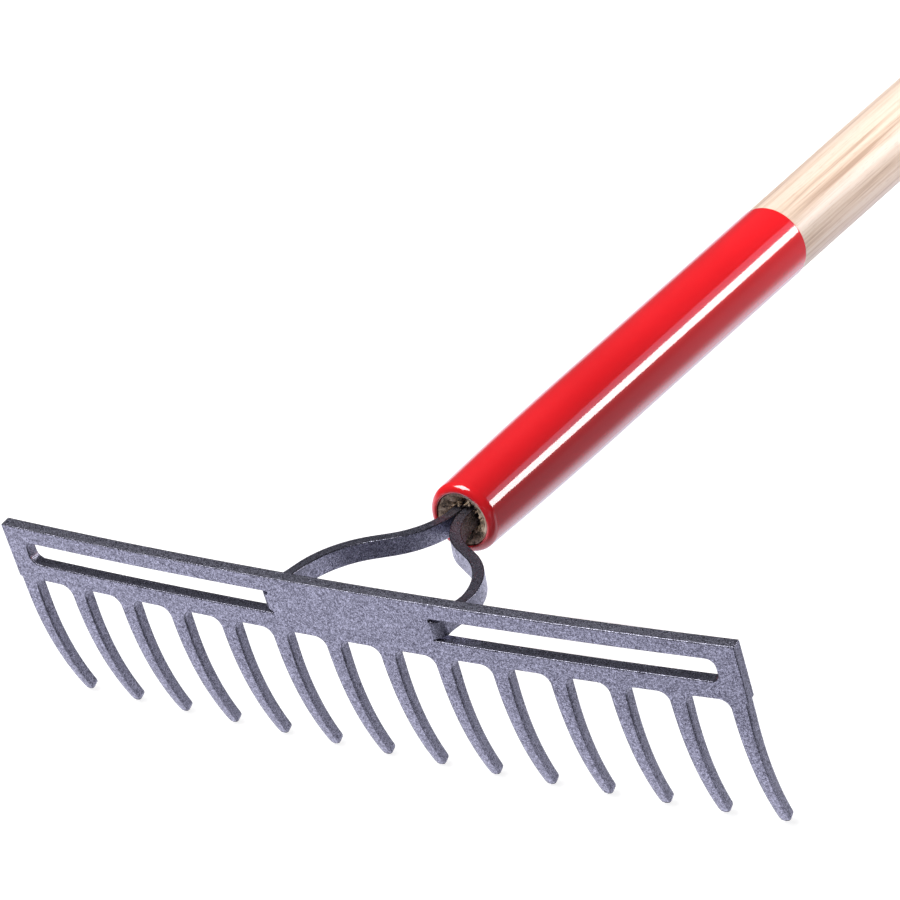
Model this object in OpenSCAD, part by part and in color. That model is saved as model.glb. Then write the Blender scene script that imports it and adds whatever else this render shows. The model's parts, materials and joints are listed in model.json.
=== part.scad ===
// Bow rake: a one-piece forged head with curved tines and a two-arm bow, on a straight wooden
// handle with a long steel ferrule.
//
// The head is one forging on the real tool. It is drawn here as the plate, the tines and the two
// bow arms, which meet face to face where the metal runs on from one to the next.
//
// Head frame: origin at the middle of the plate's top front edge, +X along the head, +Y back
// towards the handle, +Z up the plate. Handle frame: origin where the handle's axis crosses the
// plate's front, +Y along the handle, X as in the head frame. at_rest() lays the tool on a floor
// at z = 0, on its tine tips and the butt of the handle, with the origin under its middle.

/* [Head plate] */
// Width of the plate across its ends
head_w = 356.8; // [330:0.1:420]
// Thickness of the plate
head_t = 5.2; // [4.4:0.1:6.4]
// Height of the bar above the slots
top_bar_h = 7.7; // [6:0.1:10]
// Height of the slots that the bow arms are sheared out of
slot_h = 11.2; // [10.4:0.1:13]
// Height of the bar below the slots
low_bar_h = 8.7; // [7:0.1:12]
// Distance from the middle to the inner end of each slot
slot_inner_x = 39; // [34:0.5:46]
// Metal left between a slot and the end of the plate
slot_end_w = 10.4; // [8:0.1:16]
// Corner radius at the outer end of a slot
slot_corner_r = 3.8; // [2:0.1:4.8]
// Radius that the plate is swept back to, seen from above
head_sweep_r = 3000; // [2000:50:6000]

/* [Tines] */
// Number of tines
tine_count = 14; // [12:2:16]
// Length of a tine below the plate, measured along its front
tine_len = 71; // [60:0.5:85]
// Width of a tine at its root
tine_root_w = 7.8; // [7:0.1:9]
// Width of a tine at its tip, which is also its end radius doubled
tine_tip_w = 5.4; // [4.4:0.1:6.4]
// Thickness of a tine at its tip
tine_tip_t = 4.2; // [3.6:0.1:4.4]
// Straight length of a tine before it curves back
tine_leg = 10; // [8:0.5:16]
// Radius of the tine's front face where it curves back
tine_curve_r = 173; // [150:1:260]
// Radius of the fillets between the tines
root_r = 4.4; // [3:0.1:5]
// Step in from the plate's end to the outside of the end tine
end_step = 0.9; // [0.4:0.1:2]

/* [Bow] */
// Thickness of a bow arm, and half the width of the tang
bow_t = 5.1; // [4.4:0.1:6]
// Height of a bow arm
bow_h = 8.5; // [7:0.1:9]
// Straight run of an arm before its first bend, from the plate's front
bow_run = 20.5; // [14:0.5:28]
// Angle that an arm bends inward by, and back again
bow_bend = 56.5; // [50:0.5:60]
// Middle radius of the inward bend
bow_r1 = 39.5; // [30:0.5:41]
// Middle radius of the bend back into the tang
bow_r2 = 34; // [24:0.5:35]
// Depth that the tang reaches into the wood
tang_len = 110; // [80:1:140]

/* [Ferrule] */
// Distance from the plate's front to the ferrule's front lip
ferrule_start = 83.7; // [82:0.1:92]
// Length of the ferrule
ferrule_len = 264.7; // [240:0.1:320]
// Diameter of the opening inside the rolled lip
lip_bore_d = 24.9; // [22:0.1:25.6]
// Outside radius of the rolled lip
lip_r = 3.6; // [2.8:0.1:4]
// Outside diameter where the ferrule's first swell ends
ferrule_mid_d = 35.4; // [34.4:0.1:36]
// Outside diameter at the back end of the ferrule
ferrule_end_d = 36.5; // [36.3:0.1:38]
// Wall thickness of the ferrule
ferrule_wall = 1; // [0.8:0.1:1.2]
// Diameter of the pin that holds the tang
pin_d = 4.4; // [3:0.1:5]

/* [Handle] */
// Length of the wooden handle
handle_len = 1524; // [1200:1:1700]
// Diameter of the wood just behind the ferrule
handle_d = 35.8; // [35:0.1:36.2]
// Diameter at the handle's fullest part
handle_full_d = 36.8; // [36.4:0.1:40]
// Diameter of the grip
grip_d = 32; // [28:0.5:34]
// Length of the straight grip, up to the domed butt
grip_len = 545; // [300:5:560]
// Direction of the handle below square to the plate, in degrees
handle_drop = 8.8; // [6:0.1:12]
// Diameter of the mouth bored round the tang
mouth_d = 16.4; // [15:0.1:18]
// Depth of that mouth
mouth_depth = 8; // [4:0.5:12]

/* [Hidden] */
tine_names = [for (k = [1:tine_count]) str("tine_", k < 10 ? "0" : "", k)];
$fn = 96;
sweep_fn = 1800;

steel = "slategray";
plate_h = top_bar_h + slot_h + low_bar_h;
slot_bottom = top_bar_h + slot_h;
pitch = (head_w - 2 * end_step - tine_root_w) / (tine_count - 1);
axis_z = -14.7;

// Tine side view: the front is an arc, and the back is a flatter arc that thins it to the tip
curve_z = -plate_h - tine_leg;
tip_angle = (tine_len - tine_leg) / tine_curve_r * 180 / PI;
tip_front = [tine_curve_r * (1 - cos(tip_angle)), curve_z - tine_curve_r * sin(tip_angle)];
tip_back = tip_front + tine_tip_t * [cos(tip_angle), sin(tip_angle)];
back_dy = tip_back[0] - head_t;
back_dz = curve_z - tip_back[1];
tine_back_r = (back_dy * back_dy + back_dz * back_dz) / (2 * back_dy);

// Bow arm: the straight between its two bends closes the distance to the middle
arm_x = slot_inner_x + bow_t / 2;
arm_root_y = 1;
arm_drop = (arm_x - bow_t / 2 - (bow_r1 + bow_r2) * (1 - cos(bow_bend))) / sin(bow_bend);
bend1_end = [
    arm_x - bow_r1 * (1 - cos(bow_bend)),
    bow_run + bow_r1 * sin(bow_bend)
];
bend2_start = bend1_end + arm_drop * [-sin(bow_bend), cos(bow_bend)];
bend2_centre = bend2_start + bow_r2 * [cos(bow_bend), sin(bow_bend)];

// Ferrule and wood, as radius and distance along the handle's axis
wood_start = ferrule_start + lip_r;
wood_end = wood_start + handle_len;
ferrule_end = ferrule_start + ferrule_len;
swell_end = 200;
tang_end = wood_start + tang_len;
tang_taper = 40;
tang_tip = 1.2;
pin_y = ferrule_start + 62;
pin_top = 11;
pin_proud = 0.8;

// Rest: the tilt that puts the lowest point of the tines and of the domed butt on one level
butt_y = wood_end - grip_d / 2;
butt = [butt_y * cos(handle_drop), axis_z - butt_y * sin(handle_drop)];
reach = butt - tip_front;
rest_tilt = asin(grip_d / 2 / norm(reach)) - atan2(reach[1], reach[0]);
function turned(p) = [
    p[0] * cos(rest_tilt) - p[1] * sin(rest_tilt),
    p[0] * sin(rest_tilt) + p[1] * cos(rest_tilt)
];
rest_rise = -turned(tip_front)[1];
rest_back = (turned(butt)[0] + grip_d / 2) / 2;

module at_rest() {
    translate([0, -rest_back, rest_rise]) rotate([rest_tilt, 0, 0]) children();
}

module on_handle() {
    at_rest() translate([0, 0, axis_z]) rotate([-handle_drop, 0, 0]) children();
}

// Turns a profile of [radius, distance] about the handle's axis
module turned_profile(points) {
    rotate([-90, 0, 0]) rotate_extrude() polygon(points);
}

function arc(centre, r, from, to, steps) = [
    for (i = [0:steps]) let (a = from + (to - from) * i / steps) centre + r * [cos(a), sin(a)]
];

// ---- Head plate ----

// Front view of one slot, with its outer corners rounded and its inner end square
module slot_outline() {
    outer_x = head_w / 2 - slot_end_w;
    translate([slot_inner_x, -slot_bottom])
        square([outer_x - slot_inner_x - slot_corner_r, slot_h]);
    translate([slot_inner_x, -slot_bottom + slot_corner_r])
        square([outer_x - slot_inner_x, slot_h - 2 * slot_corner_r]);
    for (z = [-slot_bottom + slot_corner_r, -top_bar_h - slot_corner_r])
        translate([outer_x - slot_corner_r, z]) circle(r = slot_corner_r);
}

// Front view of one gap between tines, with rounded corners under the plate
module gap_outline() {
    gap = pitch - tine_root_w;
    translate([-gap / 2 + root_r, -root_r]) square([gap - 2 * root_r, root_r]);
    translate([-gap / 2, -2 * root_r]) square([gap, root_r]);
    for (side = [-1, 1]) translate([side * (gap / 2 - root_r), -root_r]) circle(r = root_r);
}

module plate_outline() {
    root_w = head_w - 2 * end_step;
    difference() {
        union() {
            translate([-head_w / 2, -plate_h]) square([head_w, plate_h]);
            translate([-root_w / 2, -plate_h - root_r]) square([root_w, 2 * root_r]);
        }
        slot_outline();
        mirror([1, 0]) slot_outline();
        for (k = [1:tine_count - 1])
            translate([(k - tine_count / 2) * pitch, -plate_h]) gap_outline();
    }
}

module head_plate() {
    deepest = 2 * head_t + head_w * head_w / (8 * head_sweep_r);
    color(steel) at_rest() intersection() {
        translate([0, deepest, 0]) rotate([90, 0, 0])
            linear_extrude(deepest + head_t) plate_outline();
        translate([0, head_sweep_r, -plate_h - 2 * root_r]) difference() {
            cylinder(r = head_sweep_r, h = plate_h + 3 * root_r, $fn = sweep_fn);
            translate([0, 0, -1])
                cylinder(r = head_sweep_r - head_t, h = plate_h + 3 * root_r + 2, $fn = sweep_fn);
        }
    }
}

// ---- Tines ----

// Front view of a tine: straight sides that draw in from the root to the tip
module tine_taper() {
    top = -plate_h - root_r;
    end = tip_front[1] - tine_tip_w;
    polygon([
        [-tine_root_w / 2, top], [tine_root_w / 2, top],
        [tine_tip_w / 2, end], [-tine_tip_w / 2, end]
    ]);
}

// A straight leg from the plate that runs on into a curve of the given radius
module leg_and_curve(depth, front_y, r) {
    height = 2 * tine_len;
    translate([-depth / 2, front_y, curve_z]) cube([depth, height, height]);
    translate([-depth / 2, front_y + r, curve_z]) rotate([0, 90, 0])
        cylinder(r = r, h = depth, $fn = 240);
}

// Side view of a tine, between its front and back arcs
module tine_side() {
    w = tine_root_w;
    difference() {
        intersection() {
            leg_and_curve(w, 0, tine_curve_r);
            translate([-w / 2, -1, tip_front[1] - tine_tip_t])
                cube([w, tip_back[0] + 2, tine_len + tine_tip_t]);
        }
        leg_and_curve(w + 2, head_t, tine_back_r);
    }
}

// Everything above a rounded end that is square to the tine at its tip
module tip_limit() {
    depth = 4 * head_t;
    r = tine_tip_w / 2;
    translate([0, tip_front[0], tip_front[1]]) rotate([tip_angle, 0, 0]) {
        translate([-tine_root_w, -depth / 2, r]) cube([2 * tine_root_w, 1.5 * depth, 2 * tine_len]);
        translate([0, -depth / 2, r]) rotate([-90, 0, 0]) cylinder(r = r + 0.1, h = 1.5 * depth);
    }
}

module tine(k) {
    x = (k - (tine_count + 1) / 2) * pitch;
    color(steel) at_rest()
        translate([0, head_sweep_r, 0]) rotate([0, 0, asin(x / head_sweep_r)])
        translate([0, -head_sweep_r, 0]) intersection() {
            translate([0, 3 * head_t, 0]) rotate([90, 0, 0])
                linear_extrude(4 * head_t) tine_taper();
            tine_side();
            tip_limit();
        }
}

// ---- Bow ----

// Edge of the right arm, offset sideways from its middle line, from the plate to the tang
function arm_edge(side) = concat(
    arc([arm_x - bow_r1, bow_run], bow_r1 + side, 0, bow_bend, 14),
    arc(bend2_centre, bow_r2 - side, 180 + bow_bend, 180, 14)
);

// Plan of the right arm with its half of the tang
module arm_outline() {
    root_arc = arc([slot_inner_x, arm_root_y + bow_t], bow_t, -90, 0, 8);
    polygon(concat(
        root_arc,
        arm_edge(bow_t / 2),
        [[bow_t, tang_end - tang_taper], [tang_tip, tang_end], [0, tang_end]],
        [for (i = [0:29]) arm_edge(-bow_t / 2)[29 - i]]
    ));
}

module right_arm() {
    // keeps the foot of the arm off the bar below the slot
    bar_back = head_t + 0.4;
    on_handle() difference() {
        translate([0, 0, -bow_h / 2]) linear_extrude(bow_h) arm_outline();
        rotate([handle_drop, 0, 0]) translate([0, -head_t, -axis_z - slot_bottom - head_t])
            cube([slot_inner_x + 2 * bow_t, head_t + bar_back, head_t]);
        pin_hole();
    }
}

module bow_left() {
    color(steel) mirror([1, 0, 0]) right_arm();
}

module bow_right() {
    color(steel) right_arm();
}

// ---- Ferrule and its pin ----

// Outside radius of the ferrule behind its lip: a quick swell, then a long even taper
function ferrule_r(y) =
    let (
        first = lip_bore_d / 2 + lip_r,
        mid = ferrule_mid_d / 2,
        u = (y - wood_start) / (swell_end - wood_start),
        w = (y - swell_end) / (ferrule_end - swell_end)
    )
    y < swell_end ? mid - (mid - first) * (1 - u) * (1 - u) : mid + (ferrule_end_d / 2 - mid) * w;

// Side of the ferrule, moved in by inset, from the swell's start to the back end
function ferrule_side(inset) = concat(
    [for (i = [0:7]) let (y = wood_start + (swell_end - wood_start) * i / 8) [ferrule_r(y) - inset, y]],
    [[ferrule_r(swell_end) - inset, swell_end], [ferrule_end_d / 2 - inset, ferrule_end]]
);

// The pin runs across the handle, from under the ferrule up through the tang
module pin_hole() {
    translate([0, pin_y, -ferrule_end_d]) cylinder(d = pin_d, h = ferrule_end_d + pin_top);
}

module ferrule() {
    lip_centre = [lip_bore_d / 2, wood_start];
    outside = concat(arc(lip_centre, lip_r, -90, 0, 8), ferrule_side(0));
    inside = concat(arc(lip_centre, lip_r - ferrule_wall, -90, 0, 8), ferrule_side(ferrule_wall));
    last = len(inside) - 1;
    color("firebrick") on_handle() difference() {
        turned_profile(concat(outside, [for (i = [0:last]) inside[last - i]]));
        pin_hole();
    }
}

// A plain driven pin whose end stands just proud of the ferrule
module ferrule_pin() {
    bottom = -ferrule_r(pin_y) - pin_proud;
    color("silver") on_handle()
        translate([0, pin_y, bottom]) cylinder(d = pin_d, h = pin_top - bottom);
}

// ---- Handle ----

module handle() {
    full_start = ferrule_end + 110;
    full_end = ferrule_end + 170;
    color("bisque") on_handle() difference() {
        union() {
            turned_profile(concat(
                [[0, wood_start]],
                ferrule_side(ferrule_wall),
                [[handle_d / 2, ferrule_end], [handle_full_d / 2, full_start],
                 [handle_full_d / 2, full_end], [grip_d / 2, butt_y - grip_len],
                 [grip_d / 2, butt_y], [0, butt_y]]
            ));
            translate([0, butt_y, 0]) rotate([-90, 0, 0])
                rotate_extrude() intersection() {
                    circle(d = grip_d);
                    square(grip_d);
                }
        }
        turned_profile([[0, wood_start - 1], [mouth_d / 2, wood_start - 1],
            [mouth_d / 2, wood_start + mouth_depth], [0, wood_start + mouth_depth]]);
        tang_socket();
        pin_hole();
    }
}

// The space that the two halves of the tang fill
module tang_socket() {
    half = [[bow_t, wood_start], [bow_t, tang_end - tang_taper], [tang_tip, tang_end]];
    translate([0, 0, -bow_h / 2]) linear_extrude(bow_h)
        polygon(concat(half, [for (i = [2:-1:0]) [-half[i][0], half[i][1]]]));
}

head_plate();
for (k = [1:tine_count]) tine(k);
bow_left();
bow_right();
ferrule();
handle();
ferrule_pin();
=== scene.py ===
# %% [markdown]
# # A bow rake, made round its working drawing
#
# The rake's sizes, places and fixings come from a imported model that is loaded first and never
# changed. Everything here is looks: better shapes for the same pieces, paint, wood and light.
#
# A bow rake has very few pieces. The head is one steel forging: a plate with a row of tines, and two
# arms that were cut out of the plate, bent back and driven into the handle. A long steel ferrule
# binds the front of the wooden handle, and a small pin locks it all together.

# %% Load the frame
import json
import math

import bmesh
import bpy
from mathutils import Matrix, Vector, noise


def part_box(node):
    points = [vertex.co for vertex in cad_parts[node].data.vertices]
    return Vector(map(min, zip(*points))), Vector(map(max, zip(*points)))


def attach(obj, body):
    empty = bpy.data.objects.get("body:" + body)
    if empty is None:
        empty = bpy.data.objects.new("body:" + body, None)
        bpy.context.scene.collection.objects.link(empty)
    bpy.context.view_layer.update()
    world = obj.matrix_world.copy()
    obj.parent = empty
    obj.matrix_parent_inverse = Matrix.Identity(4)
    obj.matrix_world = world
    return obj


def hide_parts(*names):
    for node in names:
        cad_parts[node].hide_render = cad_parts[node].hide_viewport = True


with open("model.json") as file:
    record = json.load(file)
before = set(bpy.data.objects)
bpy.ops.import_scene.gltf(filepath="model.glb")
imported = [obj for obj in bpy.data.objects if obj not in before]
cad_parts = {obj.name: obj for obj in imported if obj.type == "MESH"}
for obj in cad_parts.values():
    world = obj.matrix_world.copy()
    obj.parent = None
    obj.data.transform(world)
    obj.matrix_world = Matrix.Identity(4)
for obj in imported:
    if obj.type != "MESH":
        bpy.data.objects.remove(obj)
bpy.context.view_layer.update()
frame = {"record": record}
mount = {m["name"]: m for m in frame["record"]["mounts"]}

# %% [markdown]
# ## Two sets of axes
#
# The rake lies on its tine tips and on the butt of its handle, so nothing on it is square to the
# floor. A smith would measure the head from the middle of its top edge, and a turner would measure
# the handle along its own axis. The drawing gives both: the flat top edge has a direction, and so
# has the grip. Each piece is made in millimetres on one of these two sets of axes, and is then
# moved into place. The piece's object stays at the origin, because its place belongs in its mesh.

# %% Axes of the head and of the handle
MM = 0.001
head_t = 5.2
across = Vector((1, 0, 0))


def axes(origin, along, up):
    """Millimetres on (across, along, up) axes to metres in the frame."""
    turn = Matrix((across, along, up)).transposed().to_4x4()
    return Matrix.Translation(origin) @ turn @ Matrix.Scale(MM, 4)


head_up = Vector(mount["levelling_edge"]["axis"]).normalized()
head_back = head_up.cross(across)
top_middle = Vector(mount["levelling_edge"]["pos_m"]) - head_back * head_t / 2 * MM
HEAD = axes(top_middle, head_back, head_up)

handle_along = Vector(mount["handle_grip"]["axis"]).normalized()
grip_middle = Vector(mount["handle_grip"]["pos_m"])
to_plate = (top_middle - grip_middle).dot(head_back) / handle_along.dot(head_back)
handle_start = grip_middle + handle_along * to_plate
HANDLE = axes(handle_start, handle_along, across.cross(handle_along))
handle_drop = math.acos(handle_along.dot(head_back))
print("handle drops", round(math.degrees(handle_drop), 2), "degrees below square to the head")


def object_from(name, points, faces, place):
    """A mesh object at the origin, from points in millimetres on the axes of `place`."""
    mesh = bpy.data.meshes.new(name)
    mesh.from_pydata([place @ Vector(p) for p in points], [], faces)
    mesh.validate()
    mesh.shade_smooth()
    piece = bpy.data.objects.new(name, mesh)
    bpy.context.scene.collection.objects.link(piece)
    return piece


# %% [markdown]
# ## The camera
#
# The camera comes first, because it decides which details are worth the work. It looks down on
# the head from the front and right, through a long lens, and it is tipped a little to one side, so
# that the handle climbs steeply out of the picture.

# %% Camera
view_azimuth = math.radians(38.34)
view_elevation = math.radians(28.51)
view_roll = math.radians(-12.34)
view_distance = 1.80
lens_mm = 182.06
aim = Vector((0.0360, -0.7634, 0.1413))

toward = Vector((
    -math.sin(view_azimuth) * math.cos(view_elevation),
    math.cos(view_azimuth) * math.cos(view_elevation),
    -math.sin(view_elevation),
))
level = toward.cross(Vector((0, 0, 1))).normalized()
right = Matrix.Rotation(-view_roll, 3, toward) @ level
camera_up = right.cross(toward)
camera = bpy.data.objects.new("camera", bpy.data.cameras.new("camera"))
camera.data.lens = lens_mm
camera.data.sensor_width = 36
camera.data.clip_end = 50
camera.matrix_world = Matrix.Translation(aim - toward * view_distance) @ Matrix(
    (right, camera_up, -toward)).transposed().to_4x4()
bpy.context.scene.collection.objects.link(camera)
bpy.context.scene.camera = camera
print("camera at", [round(v, 3) for v in camera.matrix_world.translation])

# %% [markdown]
# ## The blank of the head
#
# The forging starts as a flat plate with its slots and the roots of its tines already cut. One way
# to draw it is a box with holes cut out, but cuts leave long thin triangles that never take a clean
# rounded edge. Here the front of the plate is laid out as a few dozen flat cells, like tiles, with
# the corners of the slots and the fillets between the tines as arcs. The tiles become a slab when
# the same outline is repeated at the back and walled all round.

# %% Sizes of the blank, in millimetres
half_w = (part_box("head_plate")[1].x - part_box("head_plate")[0].x) / 2 / MM
top_bar, slot_h, low_bar = 7.7, 11.2, 8.7
slot_bottom = -top_bar - slot_h
root_z = slot_bottom - low_bar
slot_in, slot_out, slot_r = 39.0, half_w - 10.4, 3.8
tines = 14
tine_w, tip_w, tip_t = 7.8, 5.4, 4.2
end_step, root_r = 0.9, 4.4
pitch = (2 * (half_w - end_step) - tine_w) / (tines - 1)
tine_top = root_z - root_r
sweep_r = 3000.0
arm_h = 8.5
arm_root_top = -9.4
arm_root_bottom = arm_root_top - arm_h
print("tine spacing", round(pitch, 2), "mm, plate height", -root_z, "mm")


def arc(cx, cz, r, start, end, steps=6):
    """Points on an arc, with its angles in degrees."""
    turns = [math.radians(start + (end - start) * i / steps) for i in range(steps + 1)]
    return [(cx + r * math.cos(a), cz + r * math.sin(a)) for a in turns]


# %% Cells of the plate's front, for its right half
def low_cells():
    """The bar under the slots with the roots of the tines, from each gap's middle to its tine."""
    cells = []
    for k in range(tines // 2):
        mid, tine = k * pitch, (k + 0.5) * pitch
        edge = tine - tine_w / 2
        fillet = arc(edge - root_r, tine_top, root_r, 90, 0)
        cells.append([(tine, tine_top), (tine, slot_bottom), (mid, slot_bottom), (mid, root_z)] + fillet)
        if k < tines // 2 - 1:
            after = (k + 1) * pitch
            edge = tine + tine_w / 2
            fillet = arc(edge + root_r, tine_top, root_r, 180, 90)
            cells.append([(tine, slot_bottom), (tine, tine_top)] + fillet
                         + [(after, root_z), (after, slot_bottom)])
    outside = half_w - end_step
    cells.append([(tine, slot_bottom), (tine, tine_top), (outside, tine_top), (outside, root_z),
                  (half_w, root_z), (half_w, slot_bottom)])
    return cells


def box_cell(x0, x1, z0, z1):
    return [(x0, z0), (x1, z0), (x1, z1), (x0, z1)]


def upper_cells():
    """The bar over the slots, the solid middle of the plate, and the ends beyond the slots."""
    marks = [i * pitch / 2 for i in range(tines - 1)]
    corner = slot_out - slot_r
    last = (tines - 1) / 2 * pitch
    mid_z = (slot_bottom - top_bar) / 2
    cells = [box_cell(a, b, -top_bar, 0) for a, b in zip(marks, marks[1:] + [corner])]
    inner = [m for m in marks if m < slot_in] + [slot_in]
    cells += [box_cell(a, b, slot_bottom, -top_bar) for a, b in zip(inner, inner[1:])]
    cells.append([(corner, 0)] + arc(corner, -top_bar - slot_r, slot_r, 90, 0)
                 + [(slot_out, mid_z), (last, mid_z), (last, 0)])
    cells.append([(corner, slot_bottom), (last, slot_bottom), (last, mid_z), (slot_out, mid_z)]
                 + arc(corner, slot_bottom + slot_r, slot_r, 0, -90)[:-1])
    cells.append(box_cell(last, half_w, slot_bottom, 0))
    return cells


half = [[(round(x, 4), round(z, 4)) for x, z in cell] for cell in low_cells() + upper_cells()]
cells = half + [[(-x, z) for x, z in reversed(cell)] for cell in half]
print(len(cells), "cells in the plate")


# %% From cells to a slab
def tiled(cells, extra):
    """Gives neighbouring cells the same corners, wherever one has a corner on another's side."""
    corners = {p for cell in cells for p in cell} | set(extra)
    result = []
    for cell in cells:
        ring = []
        for a, b in zip(cell, cell[1:] + cell[:1]):
            if a == b:
                continue
            run = Vector(b) - Vector(a)
            ring.append(a)
            on_side = []
            for p in corners:
                reach = (Vector(p) - Vector(a)).dot(run) / run.length
                off = abs((p[0] - a[0]) * run.y - (p[1] - a[1]) * run.x) / run.length
                if 0.01 < reach < run.length - 0.01 and off < 0.001:
                    on_side.append((reach, p))
            ring += [p for _, p in sorted(on_side)]
        result.append(ring)
    return result


def swept(x, y, z):
    """Bends the flat plate back round a large arc, as seen from above."""
    turn = math.asin(x / sweep_r)
    return ((sweep_r - y) * math.sin(turn), sweep_r - (sweep_r - y) * math.cos(turn), z)


def is_open(a, b):
    """Sides of the slab that stay open, where a tine or a bow arm grows out of it."""
    at_root = abs(a[1] - tine_top) < 0.01 and abs(b[1] - tine_top) < 0.01
    at_arm = abs(abs(a[0]) - slot_in) < 0.01 and abs(a[0] - b[0]) < 0.01
    middle = (a[1] + b[1]) / 2
    return at_root or (at_arm and arm_root_bottom < middle < arm_root_top)


arm_corners = [(s * slot_in, z) for s in (-1, 1) for z in (arm_root_top, arm_root_bottom)]
cells = tiled(cells, arm_corners)
corners = sorted({p for cell in cells for p in cell})
number = {p: i for i, p in enumerate(corners)}
back = len(corners)
head_points = [swept(x, y, z) for y in (0, head_t) for x, z in corners]
head_faces = [[number[p] for p in cell] for cell in cells]
head_faces += [[back + i for i in reversed(face)] for face in head_faces]
sides = {(a, b) for cell in cells for a, b in zip(cell, cell[1:] + cell[:1])}
for a, b in sorted(sides):
    if (b, a) not in sides and not is_open(a, b):
        head_faces.append([number[b], number[a], back + number[a], back + number[b]])
print(len(head_faces), "faces in the slab")

# %% [markdown]
# ## The bow arms and the tang
#
# Each arm is a strip of the same plate. It leaves the inner end of a slot, turns square back, leans
# in towards its twin, and straightens again where the two lie side by side and become the tang.
# A path with a fixed outline pulled along it would do, but the arm has to grow out of the plate
# without a seam. So its four corner lines start on the open corners that the slab left for it, and
# go on from there section by section.

# %% Path of the right arm, in the handle's millimetres
arm_t = 5.1
inside_r = 0.5
arm_x = slot_in + inside_r + arm_t / 2
arm_run, arm_bend = 20.5, math.radians(56.5)
arm_r1, arm_r2 = 39.5, 34.0
ferrule_start, ferrule_len, lip_r = 83.7, 264.7, 3.6
wood_start = ferrule_start + lip_r
tang_end, tang_taper, tang_tip = wood_start + 110, 40.0, 3.5
half_gap = 0.02


def arm_path():
    """Middle line of the arm after its first corner: (x, y along the handle, heading inward)."""
    lean = (arm_x - arm_t / 2 - (arm_r1 + arm_r2) * (1 - math.cos(arm_bend))) / math.sin(arm_bend)
    path = [(arm_x, y, 0.0) for y in (9.0, 13.0, 17.0)]
    for i in range(15):
        a = arm_bend * i / 14
        path.append((arm_x - arm_r1 * (1 - math.cos(a)), arm_run + arm_r1 * math.sin(a), a))
    x, y, a = path[-1]
    x, y = x - lean * math.sin(a), y + lean * math.cos(a)
    cx, cy = x + arm_r2 * math.cos(a), y + arm_r2 * math.sin(a)
    for i in range(15):
        a = arm_bend * (1 - i / 14)
        path.append((cx - arm_r2 * math.cos(a), cy - arm_r2 * math.sin(a), a))
    return path


def handle_to_head(x, y, z):
    """A point on the handle's axes, moved to the head's axes, both in millimetres."""
    return HEAD.inverted() @ HANDLE @ Vector((x, y, z))


def arm_sections(side):
    """Corner points of the arm: outer top, outer bottom, inner bottom, inner top."""
    middle_z = (arm_root_top + arm_root_bottom) / 2
    front_y = swept(slot_in, 0, 0)[1]
    pivot = Vector((slot_in, front_y + head_t + inside_r))
    sections = []
    for i in range(1, 7):
        a = math.pi / 2 * i / 6
        outward = Vector((math.sin(a), -math.cos(a)))
        far, near = pivot + outward * (inside_r + arm_t), pivot + outward * inside_r
        sections.append([(p.x, p.y, middle_z + h) for p, h in (
            (far, arm_h / 2), (far, -arm_h / 2), (near, -arm_h / 2), (near, arm_h / 2))])
    for x, y, a in arm_path():
        blend = min(1.0, max(0.0, (y - 6) / 20))
        blend = blend * blend * (3 - 2 * blend)
        corner = []
        for off, h in ((1, 1), (1, -1), (-1, -1), (-1, 1)):
            px = max(half_gap, x + off * arm_t / 2 * math.cos(a))
            py = y + off * arm_t / 2 * math.sin(a)
            on_axis = handle_to_head(px, py, h * arm_h / 2)
            upright = Vector((px, py, middle_z + h * arm_h / 2 - (py - 6) * math.tan(handle_drop)))
            corner.append(tuple(upright.lerp(on_axis, blend)))
        sections.append(corner)
    for y, w in ((tang_end - tang_taper, arm_t), (tang_end, tang_tip)):
        sections.append([tuple(handle_to_head(px, y, h * arm_h / 2)) for px, h in (
            (w, 1), (w, -1), (half_gap, -1), (half_gap, 1))])
    return [[(side * x, y, z) for x, y, z in ring] for ring in sections]


# %% Grow both arms out of the slab
def grow_arm(side):
    at_top, at_bottom = number[(side * slot_in, arm_root_top)], number[(side * slot_in, arm_root_bottom)]
    ring = [at_top, at_bottom, back + at_bottom, back + at_top]
    for section in arm_sections(side):
        start = len(head_points)
        head_points.extend(section)
        after = [start, start + 1, start + 2, start + 3]
        for i in range(4):
            j = (i + 1) % 4
            quad = [ring[i], ring[j], after[j], after[i]]
            head_faces.append(quad if side > 0 else quad[::-1])
        ring = after
    head_faces.append(ring if side > 0 else ring[::-1])


for side in (-1, 1):
    grow_arm(side)
print(len(head_points), "points in the plate and its bow")

# %% [markdown]
# ## The tines
#
# Fourteen equal tines leave the plate at one spacing, all square to its swept line. Each is a bar
# that runs straight for a short way, curves back towards the handle, thins a little and ends in a
# rounded tip. It is drawn once, with its top end open to match the open root on the plate.

# %% One tine
tine_len, leg, curve_r, crown = 71.0, 10.0, 173.0, 0.35
tine_reach = tine_len - leg


def tine_section(at, w):
    """Six points round the tine, `at` millimetres below the plate and `w` wide."""
    bent = max(0.0, at - leg)
    a = bent / curve_r
    front = Vector((curve_r * (1 - math.cos(a)), root_z - min(at, leg) - curve_r * math.sin(a)))
    out = Vector((math.cos(a), math.sin(a)))
    thick = head_t + (tip_t - head_t) * bent / tine_reach
    swell = crown * min(1.0, max(0.0, at - root_r) / 12)
    rows = [(-w / 2, 0), (0, -swell), (w / 2, 0), (w / 2, thick), (0, thick + swell * 0.4), (-w / 2, thick)]
    return [(x, *(front + out * d)) for x, d in rows]


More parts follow.
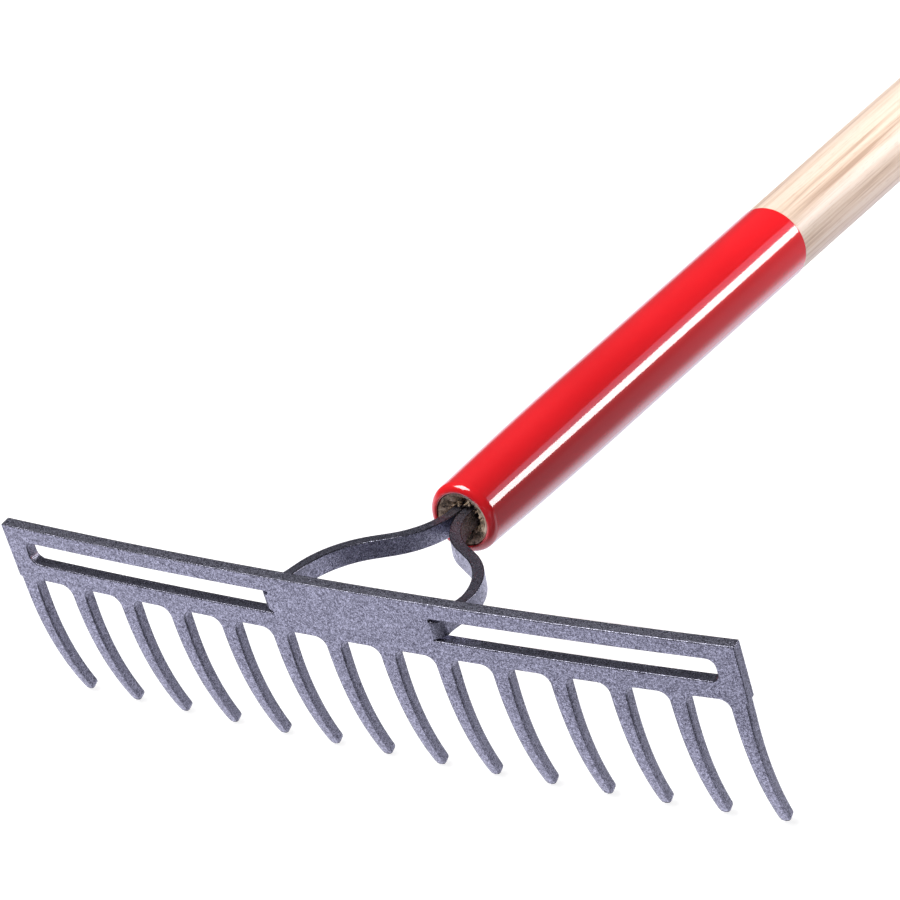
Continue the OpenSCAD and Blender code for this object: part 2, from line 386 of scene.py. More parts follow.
def tine_rings():
    end = leg + tine_reach
    r = tip_w / 2
    rings = [tine_section(root_r, tine_w), tine_section(leg, tine_w - 0.15)]
    steps = 16
    for i in range(1, steps + 1):
        at = leg + (tine_reach - r) * i / steps
        rings.append(tine_section(at, tine_w - 0.15 + (tip_w - tine_w + 0.15) * i / steps))
    for a in (20, 38, 54):
        turn = math.radians(a)
        rings.append(tine_section(end - r + r * math.sin(turn), 2 * r * math.cos(turn)))
    return rings


rings = tine_rings()
tine_points = [p for ring in rings for p in ring]
tine_faces = []
for n in range(len(rings) - 1):
    for i in range(6):
        a, b = n * 6 + i, n * 6 + (i + 1) % 6
        tine_faces.append([a, b, b + 6, a + 6])
last = (len(rings) - 1) * 6
tine_faces += [[last, last + 1, last + 4, last + 5], [last + 1, last + 2, last + 3, last + 4]]
one_tine = object_from("one_tine", tine_points, tine_faces, Matrix())
print("one tine has", len(tine_faces), "faces")

# %% [markdown]
# ## The row of tines, by Geometry Nodes
#
# Copying the tine fourteen times by hand would fix the number and the spacing for good. A node
# tree keeps both as inputs. It lays a line of points, turns each by the angle whose sine is its
# distance from the middle over the sweep radius, puts a tine on each, and welds the row to the
# plate. The weld only needs a hair's breadth, because the open ends already match.


# %% Helpers for node trees
def tree_of_nodes(name, inputs):
    """A Geometry Nodes group with a Geometry input, the named inputs, and a Geometry output."""
    tree = bpy.data.node_groups.new(name, "GeometryNodeTree")
    tree.interface.new_socket("Geometry", in_out="INPUT", socket_type="NodeSocketGeometry")
    for label, kind in inputs:
        tree.interface.new_socket(label, in_out="INPUT", socket_type=kind)
    tree.interface.new_socket("Geometry", in_out="OUTPUT", socket_type="NodeSocketGeometry")
    return tree, tree.nodes.new("NodeGroupInput"), tree.nodes.new("NodeGroupOutput")


def add(tree, kind, links=None, **settings):
    """A node with its settings, and its inputs linked to sockets or set to values."""
    node = tree.nodes.new(kind)
    for key, value in settings.items():
        setattr(node, key, value)
    for key, value in (links or {}).items():
        if isinstance(value, bpy.types.NodeSocket):
            tree.links.new(value, node.inputs[key])
        else:
            node.inputs[key].default_value = value
    return node


def maths(tree, operation, *values):
    return add(tree, "ShaderNodeMath", dict(enumerate(values)), operation=operation).outputs[0]


def made_real(piece, tree, values):
    """Runs a node tree on a piece, and leaves its result as the piece's plain mesh."""
    modifier = piece.modifiers.new(tree.name, "NODES")
    modifier.node_group = tree
    for item in tree.interface.items_tree:
        if item.in_out == "INPUT" and item.name in values:
            modifier[item.identifier] = values[item.name]
    bpy.context.view_layer.update()
    ready = piece.evaluated_get(bpy.context.evaluated_depsgraph_get())
    mesh = bpy.data.meshes.new_from_object(ready, preserve_all_data_layers=True,
                                           depsgraph=bpy.context.evaluated_depsgraph_get())
    piece.modifiers.clear()
    piece.data = mesh
    return piece


# %% The tree for the row of tines
def tine_row_tree():
    tree, given, result = tree_of_nodes("tine_row", [
        ("Tine", "NodeSocketObject"), ("Count", "NodeSocketInt"), ("Spacing", "NodeSocketFloat"),
        ("Sweep Radius", "NodeSocketFloat"), ("Weld", "NodeSocketFloat"),
        ("Coat", "NodeSocketMaterial")])
    value = given.outputs
    tine = add(tree, "GeometryNodeObjectInfo", {"Object": value["Tine"]})
    line = add(tree, "GeometryNodeMeshLine", {"Count": value["Count"]})
    index = add(tree, "GeometryNodeInputIndex").outputs[0]
    middle = maths(tree, "MULTIPLY", maths(tree, "SUBTRACT", value["Count"], 1.0), 0.5)
    x = maths(tree, "MULTIPLY", maths(tree, "SUBTRACT", index, middle), value["Spacing"])
    turn = maths(tree, "ARCSINE", maths(tree, "DIVIDE", x, value["Sweep Radius"]))
    kept = maths(tree, "MULTIPLY", maths(tree, "COSINE", turn), value["Sweep Radius"])
    y = maths(tree, "SUBTRACT", value["Sweep Radius"], kept)
    place = add(tree, "ShaderNodeCombineXYZ", {"X": x, "Y": y}).outputs[0]
    spin = add(tree, "ShaderNodeCombineXYZ", {"Z": turn}).outputs[0]
    points = add(tree, "GeometryNodeSetPosition", {"Geometry": line.outputs[0], "Position": place})
    turned = add(tree, "FunctionNodeEulerToRotation", {0: spin})
    row = add(tree, "GeometryNodeInstanceOnPoints", {
        "Points": points.outputs[0], "Instance": tine.outputs["Geometry"],
        "Rotation": turned.outputs[0]})
    real = add(tree, "GeometryNodeRealizeInstances", {"Geometry": row.outputs[0]})
    both = tree.nodes.new("GeometryNodeJoinGeometry")
    tree.links.new(real.outputs[0], both.inputs[0])
    tree.links.new(value["Geometry"], both.inputs[0])
    weld = add(tree, "GeometryNodeMergeByDistance", {
        "Geometry": both.outputs[0], "Distance": value["Weld"]})
    coat = add(tree, "GeometryNodeSetMaterial", {
        "Geometry": weld.outputs[0], "Material": value["Coat"]})
    tree.links.new(coat.outputs[0], result.inputs[0])
    return tree


# %% [markdown]
# ## Hammertone steel
#
# The head has a grey coat with a violet cast that dries into fine light and dark specks. It is
# mostly a reflecting coat: faces that look towards a bright floor turn pale, and faces that look up
# into the dark stay dark. Paint over rough forged steel also catches points of light along its
# edges. A metallic shader carries this well, with specks in its colour, its roughness and its bump.


# %% Helpers for materials
def material(name):
    """A new material, with its node tree, its shader and the piece's own coordinates."""
    made = bpy.data.materials.new(name)
    made.use_nodes = True
    tree = made.node_tree
    shader = tree.nodes["Principled BSDF"]
    where = tree.nodes.new("ShaderNodeTexCoord").outputs["Object"]
    return made, tree, shader, where


def ramp(tree, source, stops):
    """A colour ramp with stops of (position, colour)."""
    node = add(tree, "ShaderNodeValToRGB", {"Fac": source})
    while len(node.color_ramp.elements) < len(stops):
        node.color_ramp.elements.new(0.5)
    for element, (position, colour) in zip(node.color_ramp.elements, stops):
        element.position = position
        element.color = (*colour, 1)
    return node.outputs["Color"]


def specks(tree, where, scale, detail=2.0, roughness=0.5):
    return add(tree, "ShaderNodeTexNoise", {
        "Vector": where, "Scale": scale, "Detail": detail, "Roughness": roughness}).outputs["Fac"]


def mapped(tree, low, high, to_low, to_high, source):
    return add(tree, "ShaderNodeMapRange", {
        "Value": source, "From Min": low, "From Max": high, "To Min": to_low, "To Max": to_high
    }).outputs["Result"]


# %% Hammertone coat
def hammertone(name, depth, dull, sharp):
    """Speckled coat. `depth` scales its lightness, and its roughness runs from `dull` to `sharp`."""
    made, tree, shader, where = material(name)
    fine = specks(tree, where, 2300, 1.0, 0.6)
    broad = specks(tree, where, 850, 1.0)
    mix = maths(tree, "ADD", maths(tree, "MULTIPLY", fine, 0.75), maths(tree, "MULTIPLY", broad, 0.25))
    stops = [(0.385, (0.115, 0.11, 0.15)), (0.5, (0.30, 0.30, 0.375)), (0.615, (0.60, 0.595, 0.72))]
    colour = ramp(tree, mix, [(at, tuple(depth * c for c in tone)) for at, tone in stops])
    tree.links.new(colour, shader.inputs["Base Color"])
    tree.links.new(mapped(tree, 0.35, 0.65, dull, sharp, broad), shader.inputs["Roughness"])
    shader.inputs["Metallic"].default_value = 1.0
    bump = add(tree, "ShaderNodeBump", {"Height": mix, "Strength": 0.45, "Distance": 0.0004})
    tree.links.new(bump.outputs[0], shader.inputs["Normal"])
    return made


coat = hammertone("hammertone_coat", 1.0, 0.42, 0.26)

# %% Weld the row to the plate
forged_head = object_from("forged_head", head_points, head_faces, Matrix())
made_real(forged_head, tine_row_tree(), {
    "Tine": one_tine, "Count": tines, "Spacing": pitch, "Sweep Radius": sweep_r,
    "Weld": 0.03, "Coat": coat})
bpy.data.objects.remove(one_tine)
print("forged head:", len(forged_head.data.vertices), "points,", len(forged_head.data.polygons), "faces")

# %% [markdown]
# ## Rounding the forging's edges
#
# Forged and painted steel has no knife edges, and the thin lines of light along the plate come
# from small rounded corners. A Bevel modifier rounds every edge sharper than a chosen angle, by an
# amount written on the edge itself. The tines are softest. The top front edge is uneven, where the
# dies met, and the corner where an arm leaves its slot stays sharp. The rounded strips get a glossier
# coat with a darker colour, which is painted shade for the dark lines along the edges. Weighted
# normals then keep the broad faces flat to the light.

# %% Place the head and round its edges
def closed_outward(mesh):
    """Points every face outward, and counts the edges that don't join exactly two faces."""
    work = bmesh.new()
    work.from_mesh(mesh)
    bmesh.ops.recalc_face_normals(work, faces=work.faces)
    loose = sum(1 for edge in work.edges if len(edge.link_faces) != 2)
    work.to_mesh(mesh)
    work.free()
    return loose


forged_head.data.transform(HEAD)
print("open edges in the head:", closed_outward(forged_head.data))
forged_head.data.shade_smooth()


def edge_softness(mesh, sharp_angle, softness):
    """Gives every sharp edge the weight that `softness` finds for its middle point."""
    work = bmesh.new()
    work.from_mesh(mesh)
    weight = work.edges.layers.float.new("bevel_weight_edge")
    on_head = HEAD.inverted()
    rounded = 0
    for edge in work.edges:
        if edge.calc_face_angle(0) > sharp_angle:
            middle = on_head @ ((edge.verts[0].co + edge.verts[1].co) / 2)
            edge[weight] = softness(middle)
            rounded += 1
    work.to_mesh(mesh)
    work.free()
    return rounded


def forging_softness(p):
    """Softness from 0 to 1: most on the tines, uneven on the top front edge, none by an arm."""
    if p.z < tine_top - 0.5:
        return 1.0
    beside_arm = abs(abs(p.x) - slot_in) < 1.5 and p.y < head_t + 1.5
    if beside_arm and slot_bottom - 0.6 < p.z < 0.6 - top_bar:
        return 0.0
    if p.z > -0.5 and p.y < head_t / 2:
        return 0.16 + 0.42 * (0.5 + 0.5 * p.x / half_w) + 0.22 * noise.noise(Vector((p.x * 0.11, 0, 0)))
    return 0.5


sharp_angle, softest_edge = math.radians(34), 0.9
softened = edge_softness(forged_head.data, sharp_angle, forging_softness)
bevel = forged_head.modifiers.new("rounded_edges", "BEVEL")
bevel.width = softest_edge * MM
bevel.segments = 3
bevel.limit_method = "WEIGHT"
bevel.use_clamp_overlap = False
bevel.miter_outer = "MITER_ARC"
# The edge coat's darker colour is painted shade for the dark lines along the edges.
forged_head.data.materials.append(hammertone("hammertone_painted_shade_edges", 0.6, 0.30, 0.16))
bevel.material = len(forged_head.data.materials) - 1
print("finish number", bevel.material, "goes on the rounded edges")
print(softened, "edges rounded")
weighted = forged_head.modifiers.new("flat_faces", "WEIGHTED_NORMAL")
weighted.weight = 50
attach(forged_head, "root")
tine_nodes = [f"tine_{k:02d}" for k in range(1, tines + 1)]
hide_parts("head_plate", "bow_left", "bow_right", *tine_nodes)

# %% [markdown]
# ## Turned pieces
#
# The ferrule and the handle are both round about one axis, so each is drawn as half an outline
# and spun. Spinning in code gives even rings of four-sided faces and closed ends.


# %% A lathe
def lathe(name, outline, turns, closed=False, wobble=None):
    """Spins points of (radius, distance) about the handle's axis. Radius 0 closes an end."""
    points, faces, rings = [], [], []
    for r, y in outline:
        if r == 0:
            rings.append([len(points)])
            points.append((0, y, 0))
            continue
        ring = []
        for i in range(turns):
            a = 2 * math.pi * i / turns
            extra = wobble(r, y, a) if wobble else 0
            ring.append(len(points))
            points.append(((r + extra) * math.sin(a), y, (r + extra) * math.cos(a)))
        rings.append(ring)
    pairs = list(zip(rings, rings[1:] + rings[:1] if closed else rings[1:]))
    for low, high in pairs:
        for i in range(turns):
            j = (i + 1) % turns
            face = [low[i % len(low)], low[j % len(low)], high[j % len(high)], high[i % len(high)]]
            faces.append(list(dict.fromkeys(face)))
    piece = object_from(name, points, faces, HANDLE)
    print(name, "open edges:", closed_outward(piece.data), "faces:", len(piece.data.polygons))
    return piece


# %% [markdown]
# ## The ferrule
#
# A long steel tube, painted a deep glossy red. Its front lip is rolled inward over the end of the
# wood, it swells quickly behind the lip, and then grows very slightly all the way to its back edge.

# %% Ferrule
lip_bore_r, wall = 12.45, 1.0
swell_end, mid_r, end_r = 200.0, 17.7, 18.25
ferrule_end = ferrule_start + ferrule_len


def ferrule_r(y):
    """Outside radius of the ferrule behind its rolled lip."""
    first = lip_bore_r + lip_r
    if y < swell_end:
        u = (y - wood_start) / (swell_end - wood_start)
        return mid_r - (mid_r - first) * (1 - u) ** 2
    return mid_r + (end_r - mid_r) * (y - swell_end) / (ferrule_end - swell_end)


def ferrule_outline():
    soft = 0.35
    stations = [wood_start + (swell_end - wood_start) * i / 14 for i in range(1, 15)]
    stations += [swell_end + (ferrule_end - 2 - swell_end) * i / 6 for i in range(1, 7)]
    stations += [ferrule_end - 1, ferrule_end - soft]
    outside = arc(lip_bore_r, wood_start, lip_r, -78, 0, 12)
    outside += [(ferrule_r(y), y) for y in stations]
    rim = [(end_r - soft + soft * math.sin(a), ferrule_end - soft + soft * math.cos(a))
           for a in (math.radians(60), math.radians(30), 0)]
    inside = [(ferrule_r(y) - wall, y)
              for y in (ferrule_end, 300.0, swell_end, 160.0, 130.0, 110.0, wood_start)]
    inside += arc(lip_bore_r, wood_start, lip_r - wall, 0, -72, 6)[1:]
    nose = [(lip_bore_r - 0.05, ferrule_start + 0.85), (lip_bore_r - 0.12, ferrule_start + 0.45),
            (lip_bore_r + 0.1, ferrule_start + 0.15)]
    return outside + rim + inside + nose


ferrule = lathe("steel_ferrule", ferrule_outline(), 128, closed=True)
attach(ferrule, "root")
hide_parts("ferrule")


# %% Gloss red paint
def red_paint():
    made, tree, shader, where = material("gloss_red_paint")
    drift = specks(tree, where, 14, 2.0)
    colour = ramp(tree, drift, [(0.3, (0.78, 0.007, 0.012)), (0.7, (0.86, 0.010, 0.016))])
    tree.links.new(colour, shader.inputs["Base Color"])
    shader.inputs["Roughness"].default_value = 0.25
    shader.inputs["Specular IOR Level"].default_value = 0.15
    shader.inputs["Coat Weight"].default_value = 1.0
    shader.inputs["Coat Roughness"].default_value = 0.05
    shader.inputs["Coat IOR"].default_value = 1.72
    peel = specks(tree, where, 420, 1.0)
    bump = add(tree, "ShaderNodeBump", {"Height": peel, "Strength": 0.04, "Distance": 0.0003})
    tree.links.new(bump.outputs[0], shader.inputs["Coat Normal"])
    return made


ferrule.data.materials.append(red_paint())

# %% [markdown]
# ## The handle
#
# One straight piece of ash. It fills the ferrule, swells a little behind it, and draws down to a
# straight grip with a domed butt. The front end is bored for the tang, and the bore is rough: ash
# tears along its grain when a hole is opened in its end. The bore's wall gets an uneven radius,
# and a few torn fibres stand round its mouth.

# %% Handle
mouth_r, mouth_depth = 7.6, 8.0
handle_r, full_r, grip_r = 17.9, 18.4, 16.0
handle_len, grip_len = 1524.0, 545.0
wood_end = wood_start + handle_len
full_start, full_end = ferrule_end + 110, ferrule_end + 170
butt_y = wood_end - grip_r
grip_start = butt_y - grip_len


def smooth_run(r0, y0, r1, y1, steps):
    """Stations of an easy curve from one radius to another."""
    run = []
    for i in range(1, steps + 1):
        t = i / steps
        run.append((r0 + (r1 - r0) * t * t * (3 - 2 * t), y0 + (y1 - y0) * t))
    return run


def torn(r, y, a):
    """Unevenness of the bored mouth, and none on the outside of the handle."""
    if r > mouth_r + 2 or y > wood_start + mouth_depth + 1:
        return 0
    around = Vector((math.sin(a), math.cos(a), 0))
    rough = noise.noise(around * 1.7) * 1.9 + noise.noise(around * 6) * 1.3
    return max(-1.4, min(1.1, rough)) * min(1, r / 5)


def handle_outline():
    floor_y = wood_start + mouth_depth
    bore = [(0, floor_y), (3.0, floor_y), (mouth_r - 1.6, floor_y - 0.4), (mouth_r - 1.3, wood_start + 4.0),
            (mouth_r - 1.0, wood_start + 1.9), (mouth_r - 0.5, wood_start + 1.3)]
    front = [(8.4, wood_start - 0.4), (9.6, wood_start - 1.5), (10.8, wood_start - 2.3),
             (11.7, wood_start - 2.8), (12.1, wood_start - 2.5), (12.1, wood_start - 1.9),
             (12.9, wood_start - 1.3), (14.0, wood_start - 0.4), (15.0, wood_start + 1.0)]
    inside = [(ferrule_r(y) - wall - 0.03, y)
              for y in (110.0, 130.0, 160.0, swell_end, 300.0, ferrule_end - 0.3)]
    shoulder = [(handle_r - 0.25, ferrule_end), (handle_r, ferrule_end + 0.4),
                (handle_r, ferrule_end + 1.4)]
    swell = smooth_run(handle_r, ferrule_end + 1.4, full_r, full_start, 6)
    taper = smooth_run(full_r, full_end, grip_r, grip_start, 14)
    butt = [(grip_r * math.cos(a), butt_y + grip_r * math.sin(a))
            for a in (math.radians(9 * i) for i in range(10))]
    return (bore + front + inside + shoulder + swell + [(full_r, full_end)] + taper
            + butt + [(0, wood_end)])


handle = lathe("ash_handle", handle_outline(), 96, wobble=torn)
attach(handle, "root")
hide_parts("handle")


# %% Ash, along the grain and across it
def along_grain(tree, where, squeeze):
    """Coordinates turned to the handle's axis and squeezed along it, so that specks become streaks."""
    tilt = math.atan2(handle_along.z, handle_along.y)
    turned = add(tree, "ShaderNodeMapping", {"Vector": where, "Rotation": (-tilt, 0, 0)}).outputs[0]
    return add(tree, "ShaderNodeMapping", {"Vector": turned, "Scale": (1, squeeze, 1)}).outputs[0]


def blended(tree, amount, a, b, kind="MIX"):
    node = tree.nodes.new("ShaderNodeMix")
    node.data_type, node.blend_type = "RGBA", kind
    for socket, value in ((0, amount), (6, a), (7, b)):
        if isinstance(value, bpy.types.NodeSocket):
            tree.links.new(value, node.inputs[socket])
        else:
            node.inputs[socket].default_value = value
    return node.outputs[2]


def ash_finish():
    made, tree, shader, where = material("clear_coated_ash")
    stretched = along_grain(tree, where, 0.012)
    bands = specks(tree, stretched, 230, 2.0, 0.5)
    streaks = specks(tree, stretched, 1000, 3.0, 0.6)
    pores = specks(tree, along_grain(tree, where, 0.06), 2400, 1.0)
    mix = maths(tree, "ADD", maths(tree, "MULTIPLY", bands, 0.5), maths(tree, "MULTIPLY", streaks, 0.5))
    colour = ramp(tree, mix, [(0.37, (0.54, 0.36, 0.26)), (0.46, (0.74, 0.56, 0.43)),
                              (0.54, (0.82, 0.66, 0.54)), (0.7, (0.84, 0.70, 0.60))])
    fleck = mapped(tree, 0.60, 0.74, 0.0, 0.35, pores)
    toned = blended(tree, fleck, colour, (0.55, 0.36, 0.24, 1))
    tree.links.new(toned, shader.inputs["Base Color"])
    shader.inputs["Roughness"].default_value = 0.42
    shader.inputs["Coat Weight"].default_value = 0.15
    shader.inputs["Coat Roughness"].default_value = 0.25
    bump = add(tree, "ShaderNodeBump", {"Height": mix, "Strength": 0.2, "Distance": 0.0004})
    tree.links.new(bump.outputs[0], shader.inputs["Normal"])
    return made


def end_grain_finish():
    made, tree, shader, where = material("ash_end_grain")
    blotch = specks(tree, where, 320, 3.0, 0.6)
    fibre = specks(tree, where, 1500, 2.0, 0.6)
    mix = maths(tree, "ADD", maths(tree, "MULTIPLY", blotch, 0.65), maths(tree, "MULTIPLY", fibre, 0.35))
    colour = ramp(tree, mix, [(0.41, (0.05, 0.035, 0.025)), (0.47, (0.34, 0.245, 0.16)),
                              (0.55, (0.62, 0.47, 0.33)), (0.64, (0.88, 0.73, 0.55))])
    tree.links.new(colour, shader.inputs["Base Color"])
    shader.inputs["Roughness"].default_value = 0.8
    bump = add(tree, "ShaderNodeBump", {"Height": mix, "Strength": 0.6, "Distance": 0.0008})
    tree.links.new(bump.outputs[0], shader.inputs["Normal"])
    return made


end_grain = end_grain_finish()
handle.data.materials.append(ash_finish())
handle.data.materials.append(end_grain)
on_handle = HANDLE.inverted()
for face in handle.data.polygons:
    spot = on_handle @ face.center
    turn = math.atan2(spot.x, spot.z)
    uneven = noise.noise(Vector((math.sin(turn), math.cos(turn), 3)) * 2.2)
    # End grain fills the mouth out to this radius. The noise makes the edge uneven like torn wood. The
    # slant takes the darker end grain further out on the lower left as painted shade, and leaves the pale
    # rim on the upper right.
    end_grain_rim_with_painted_shade = 11.6 - 0.7 * math.cos(turn - math.radians(55)) + 0.5 * uneven
    if spot.y < wood_start + mouth_depth + 1 and math.hypot(spot.x, spot.z) < end_grain_rim_with_painted_shade:
        face.material_index = 1
print(sum(f.material_index for f in handle.data.polygons), "faces of end grain")

# %% [markdown]
# ## Torn fibres round the tang
#
# Driving the tang into ash tears splinters up round the mouth. They could be modelled one by one,
# but what matters is that no two are alike. A node tree scatters copies of one small sliver in a
# ring, each with its own place, lean and length, all drawn from one fixed seed.


# %% One sliver and the tree that scatters it
def sliver():
    """A split of wood one millimetre wide and one long, standing along the handle's axis."""
    points = [(-0.5, 0.3, -0.2), (0.5, 0.3, -0.16), (0.42, 0.3, 0.2), (-0.4, 0.3, 0.17),
              (-0.34, -0.5, -0.1), (0.3, -0.62, -0.1), (0.26, -0.55, 0.12), (-0.3, -0.42, 0.1),
              (0.04, -1.0, 0.02)]
    faces = [(0, 1, 2, 3), (0, 4, 5, 1), (1, 5, 6, 2), (2, 6, 7, 3), (3, 7, 4, 0),
             (4, 8, 5), (5, 8, 6), (6, 8, 7), (7, 8, 4)]
    piece = object_from("one_sliver", points, faces, Matrix())
    closed_outward(piece.data)
    return piece


def fibre_ring_tree():
    tree, given, result = tree_of_nodes("fibre_ring", [
        ("Sliver", "NodeSocketObject"), ("Count", "NodeSocketInt"), ("Seed", "NodeSocketInt"),
        ("Inner Radius", "NodeSocketFloat"), ("Outer Radius", "NodeSocketFloat"),
        ("Depth", "NodeSocketFloat"), ("Coat", "NodeSocketMaterial")])
    value = given.outputs

    def draw(low, high, offset, kind="FLOAT"):
        seed = maths(tree, "ADD", value["Seed"], float(offset))
        node = tree.nodes.new("FunctionNodeRandomValue")
        node.data_type = kind
        first = 0 if kind == "FLOAT_VECTOR" else 2
        for i, limit in enumerate((low, high)):
            if isinstance(limit, bpy.types.NodeSocket):
                tree.links.new(limit, node.inputs[first + i])
            else:
                node.inputs[first + i].default_value = limit
        tree.links.new(seed, node.inputs["Seed"])
        return node.outputs[0 if kind == "FLOAT_VECTOR" else 1]

    sliver_in = add(tree, "GeometryNodeObjectInfo", {"Object": value["Sliver"]})
    turn = draw(0.0, 2 * math.pi, 1)
    reach = draw(value["Inner Radius"], value["Outer Radius"], 2)
    place = add(tree, "ShaderNodeCombineXYZ", {
        "X": maths(tree, "MULTIPLY", maths(tree, "SINE", turn), reach),
        "Y": maths(tree, "ADD", value["Depth"], draw(-0.7, 1.2, 3)),
        "Z": maths(tree, "MULTIPLY", maths(tree, "COSINE", turn), reach)}).outputs[0]
    lean = draw((-0.6, -1.2, -0.6), (0.6, 1.2, 0.6), 4, "FLOAT_VECTOR")
    size = draw((0.7, 1.0, 0.7), (2.6, 3.2, 2.4), 5, "FLOAT_VECTOR")
    points = add(tree, "GeometryNodePoints", {"Count": value["Count"], "Position": place})
    turned = add(tree, "FunctionNodeEulerToRotation", {0: lean})
    ring = add(tree, "GeometryNodeInstanceOnPoints", {
        "Points": points.outputs[0], "Instance": sliver_in.outputs["Geometry"],
        "Rotation": turned.outputs[0], "Scale": size})
    real = add(tree, "GeometryNodeRealizeInstances", {"Geometry": ring.outputs[0]})
    coat = add(tree, "GeometryNodeSetMaterial", {
        "Geometry": real.outputs[0], "Material": value["Coat"]})
    tree.links.new(coat.outputs[0], result.inputs[0])
    return tree


# %% Scatter the slivers
one_sliver = sliver()
fibres = object_from("torn_fibres", [], [], Matrix())
made_real(fibres, fibre_ring_tree(), {
    "Sliver": one_sliver, "Count": 60, "Seed": 7, "Inner Radius": 6.2, "Outer Radius": 9.6,
    "Depth": wood_start - 0.2, "Coat": end_grain})
bpy.data.objects.remove(one_sliver)
fibres.data.transform(HANDLE)
print("torn fibres:", len(fibres.data.polygons), "faces, open edges", closed_outward(fibres.data))
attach(fibres, "root")

# %% Retaining pin
pin_y, pin_r, pin_top = ferrule_start + 62, 2.2, 11.0
pin_low = -ferrule_r(pin_y) - 0.8
pin_outline = [(0, pin_low), (1.0, pin_low + 0.08), (1.7, pin_low + 0.35), (pin_r, pin_low + 0.8),
               (pin_r, pin_top - 0.4), (pin_r - 0.4, pin_top), (0, pin_top)]


def upright_pin():
    turns, points, faces, rings = 32, [], [], []
    for r, z in pin_outline:
        ring = []
        for i in range(turns if r else 1):
            a = 2 * math.pi * i / turns
            ring.append(len(points))
            points.append((r * math.cos(a), pin_y + r * math.sin(a), z))
        rings.append(ring)
    for low, high in zip(rings, rings[1:]):
        for i in range(turns):
            j = (i + 1) % turns
            face = [low[i % len(low)], low[j % len(low)], high[j % len(high)], high[i % len(high)]]
            faces.append(list(dict.fromkeys(face)))
    piece = object_from("retaining_pin", points, faces, HANDLE)
    print("pin open edges:", closed_outward(piece.data))
    return piece


pin = upright_pin()
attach(pin, "root")
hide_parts("ferrule_pin")


def pin_metal():
    made, tree, shader, where = material("bare_pin_steel")
    scratches = specks(tree, where, 900, 3.0)
    colour = ramp(tree, scratches, [(0.3, (0.42, 0.42, 0.43)), (0.7, (0.60, 0.60, 0.61))])
    tree.links.new(colour, shader.inputs["Base Color"])
    tree.links.new(mapped(tree, 0.3, 0.7, 0.28, 0.45, scratches), shader.inputs["Roughness"])
    shader.inputs["Metallic"].default_value = 1.0
    return made


pin.data.materials.append(pin_metal())

# %% [markdown]
# ## Floor and light
#
# The floor gives off most of the light that it shows, so that shadows on it stay faint. It is kept
# out of reflections and lights nothing else. A large soft light stands over the viewer's left
# shoulder and a second one behind on the left. A long strip low on the right draws the thin white
# line along the ferrule, with a dim violet one above it to soften the line's upper edge. A last long
# lamp, with a narrow spread, lights the right side of the handle, from the ferrule to the butt.


# %% Floor
def floor():
    size = 6.0
    points = [(-size, -size, 0), (size, -size, 0), (size, size, 0), (-size, size, 0)]
    mesh = bpy.data.meshes.new("floor")
    mesh.from_pydata(points, [], [(0, 1, 2, 3)])
    piece = bpy.data.objects.new("floor", mesh)
    bpy.context.scene.collection.objects.link(piece)
    made, tree, shader, where = material("pale_floor")
    tone = specks(tree, where, 3, 2.0)
    tree.links.new(ramp(tree, tone, [(0, (0.34, 0.34, 0.34)), (1, (0.38, 0.38, 0.38))]),
                   shader.inputs["Base Color"])
    shader.inputs["Emission Color"].default_value = (1, 1, 1, 1)
    shader.inputs["Emission Strength"].default_value = 0.84
    shader.inputs["Roughness"].default_value = 0.9
    shader.inputs["Specular IOR Level"].default_value = 0.1
    piece.data.materials.append(made)
    piece.visible_glossy = False
    piece.visible_diffuse = False
    return piece


floor()


# %% Lights
def soft_light(name, place, target, size, power, colour=(1, 1, 1)):
    data = bpy.data.lights.new(name, "AREA")
    data.shape = "RECTANGLE"
    data.size, data.size_y = size
    data.energy = power
    data.color = colour
    lamp = bpy.data.objects.new(name, data)
    way = (Vector(target) - Vector(place)).normalized()
    lamp.matrix_world = Matrix.Translation(place) @ way.to_track_quat("-Z", "Y").to_matrix().to_4x4()
    lamp.visible_camera = False
    bpy.context.scene.collection.objects.link(lamp)
    return lamp


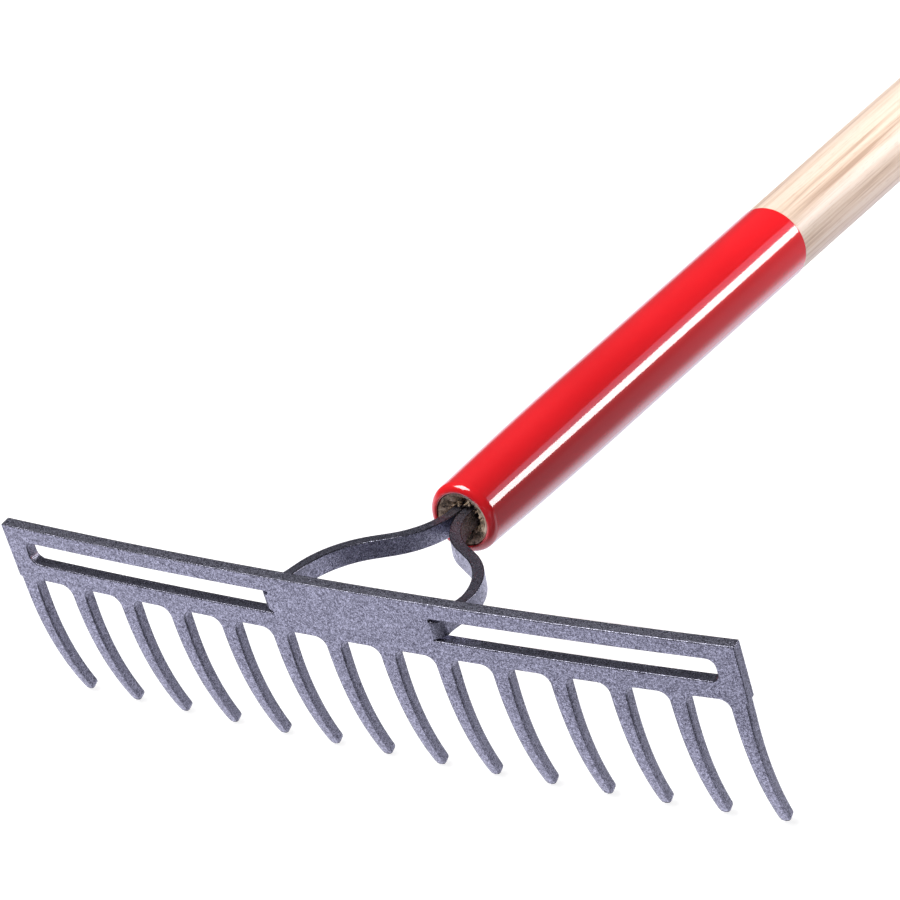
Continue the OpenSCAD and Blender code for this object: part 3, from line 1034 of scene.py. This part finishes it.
head_middle = (0.0, -0.75, 0.06)
ferrule_middle = (0.0, -0.52, 0.07)
soft_light("key", (-0.9, -1.55, 2.7), head_middle, (1.8, 1.8), 104)
fill = soft_light("fill", (-1.5, 1.0, 2.6), (0, 0.4, 0), (2.6, 2.6), 34)
fill.visible_glossy = False
strip = soft_light("strip", (1.22, 0.74, 0.50), ferrule_middle, (1.1, 0.40), 14)
strip.visible_diffuse = False
halo = soft_light("halo", (1.20, 0.72, 0.86), ferrule_middle, (1.1, 0.42), 1.2, (0.85, 0.7, 1.0))
halo.visible_diffuse = False
wood_lamp = soft_light("wood_lamp", (0.8, 0.2, 0.5), (0, 0.2, 0.05), (1.3, 0.3), 2.5)
wood_lamp.data.spread = math.radians(52)
wood_lamp.visible_glossy = False


# %% Surroundings that the metal mirrors
def studio_world():
    """Dark above the horizon and pale below it, but dim in front and behind on the right."""
    world = bpy.data.worlds.new("studio")
    world.use_nodes = True
    tree = world.node_tree
    way = tree.nodes.new("ShaderNodeTexCoord").outputs["Generated"]
    part = add(tree, "ShaderNodeSeparateXYZ", {"Vector": way}).outputs
    below = mapped(tree, 0.04, -0.22, 0.0, 1.0, part["Z"])
    front_right = maths(tree, "ADD", maths(tree, "MULTIPLY", part["X"], 0.5),
                        maths(tree, "MULTIPLY", part["Y"], -0.87))
    shade = mapped(tree, 0.3, 0.65, 1.0, 0.08, front_right)
    behind_right = maths(tree, "ADD", maths(tree, "MULTIPLY", part["X"], 0.60),
                         maths(tree, "MULTIPLY", part["Y"], 0.72))
    toward_patch = maths(tree, "ADD", behind_right, maths(tree, "MULTIPLY", part["Z"], -0.35))
    patch = mapped(tree, 0.84, 0.96, 1.0, 0.25, toward_patch)
    light = maths(tree, "MULTIPLY", maths(tree, "MULTIPLY", below, shade), patch)
    glow = mapped(tree, 0, 1, 0.08, 1.05, light)
    cool = maths(tree, "MULTIPLY", glow, 1.14)
    tone = add(tree, "ShaderNodeCombineColor", {"Red": glow, "Green": glow, "Blue": cool})
    tree.links.new(tone.outputs[0], tree.nodes["Background"].inputs["Color"])
    bpy.context.scene.world = world


studio_world()
bpy.context.scene.view_settings.view_transform = "Standard"
